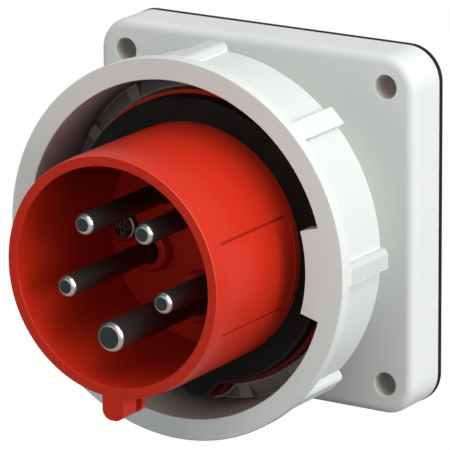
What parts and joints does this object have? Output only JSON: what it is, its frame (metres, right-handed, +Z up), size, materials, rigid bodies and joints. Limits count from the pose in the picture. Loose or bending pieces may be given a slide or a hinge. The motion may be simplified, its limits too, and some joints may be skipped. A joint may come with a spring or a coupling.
{
  "type": "panel-mounted pin and sleeve plug",
  "caption": "Square-flanged power inlet with round contact pins in a red sleeve, a black face seal and a pale grey bayonet ring that turns to lock the mating connector.",
  "frame": {"origin": "the contact axis where it meets the panel, at the back face of the gasket", "axes": "+Y along the contact axis into the panel, so the pins point to -Y; +Z up, with the key and the earth pin at the bottom; +X to the right as seen from the front"},
  "size_m": [0.0886, 0.0933, 0.0886],
  "materials": {
    "grey_plastic": "moulded, fine satin grain",
    "ring_plastic": "moulded, satin",
    "red_plastic": "moulded, satin gloss",
    "block_plastic": "moulded, dark grey",
    "seal_rubber": "matt black rubber",
    "gasket_rubber": "matt black rubber sheet",
    "pin_metal": "turned brass with dark nickel plating",
    "screw_steel": "zinc-plated steel",
    "leaf_steel": "bright spring steel"
  },
  "bodies": {
    "housing": {"flange_housing": "grey_plastic", "flange_gasket": "gasket_rubber", "sealing_ring": "seal_rubber", "insert_o_ring": "seal_rubber", "sleeve": "red_plastic", "contact_carrier": "red_plastic", "terminal_block": "block_plastic", "carrier_screws": "screw_steel", "terminal_screws": "screw_steel", "insert_screws": "screw_steel", "contact_pin_l3": "pin_metal", "clamp_leaf_l3": "leaf_steel", "contact_pin_l1": "pin_metal", "clamp_leaf_l1": "leaf_steel", "contact_pin_neutral": "pin_metal", "clamp_leaf_neutral": "leaf_steel", "contact_pin_earth": "pin_metal", "clamp_leaf_earth": "leaf_steel", "contact_pin_l2": "pin_metal", "clamp_leaf_l2": "leaf_steel"},
    "ring": {"bayonet_ring": "ring_plastic"}
  },
  "joints": [
    {"name": "ring_turn", "type": "hinge", "parent": "housing", "child": "ring", "pos_m": [0, -0.0371, 0], "axis": [0, 1, 0], "range_deg": [0, 40]}
  ]
}
